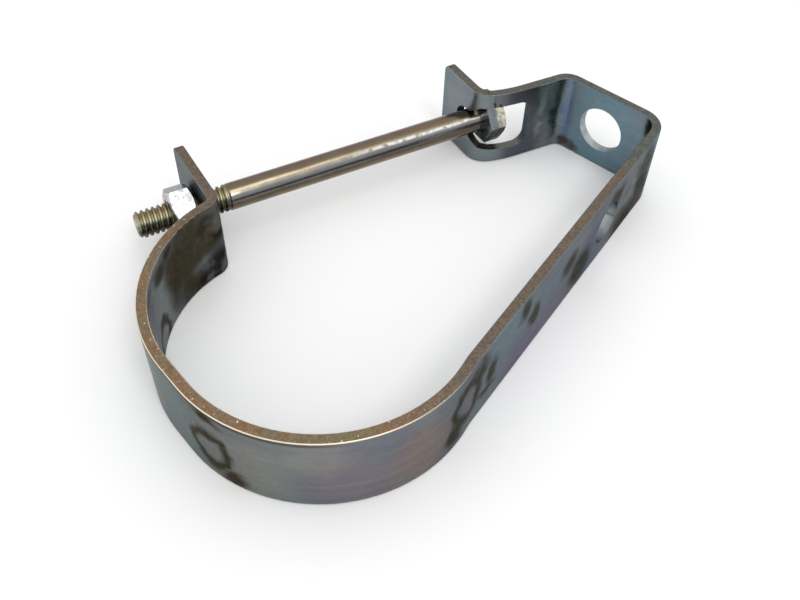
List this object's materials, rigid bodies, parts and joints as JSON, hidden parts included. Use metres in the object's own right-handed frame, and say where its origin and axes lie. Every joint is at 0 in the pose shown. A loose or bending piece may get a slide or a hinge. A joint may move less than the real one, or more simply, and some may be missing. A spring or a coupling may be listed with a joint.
{
  "type": "open strap pipe hanger with bolt and nut",
  "caption": "Zinc-plated steel strap pipe hanger, an open loop with a rod flange and two ears closed by a long hex bolt and nut.",
  "frame": {"origin": "on the pipe's axis, at the strap's lower edge as the hanger lies on its side", "axes": "+Z along the pipe's axis, up through the strap's width; +Y from the pipe towards the rod flange, along the rod's axis; the straight arm is on +X and the bolt's nut on -X"},
  "size_m": [0.0903, 0.1289, 0.0206],
  "materials": {
    "strap_zinc": "bright zinc plating with a blue-grey tint",
    "bolt_zinc": "bright zinc plating with a slight yellow tint",
    "nut_zinc": "bright zinc plating"
  },
  "bodies": {
    "strap": {"strap": "strap_zinc"},
    "bolt": {"bolt": "bolt_zinc"},
    "nut": {"nut": "nut_zinc"}
  },
  "joints": [
    {"name": "bolt_turn", "type": "hinge", "parent": "strap", "child": "bolt", "pos_m": [-0.02194, 0.07681, 0.0103], "axis": [0.345, 0.9386, 0], "range_deg": [-80, 2160]},
    {"name": "nut_travel", "type": "slide", "parent": "strap", "child": "nut", "axis": [-0.345, -0.9386, 0], "range_m": [-0.0003, 0.00765]}
  ],
  "couplings": [
    {"joint": "nut_travel", "follows": "bolt_turn", "m_per_rad": 0.00020213}
  ]
}
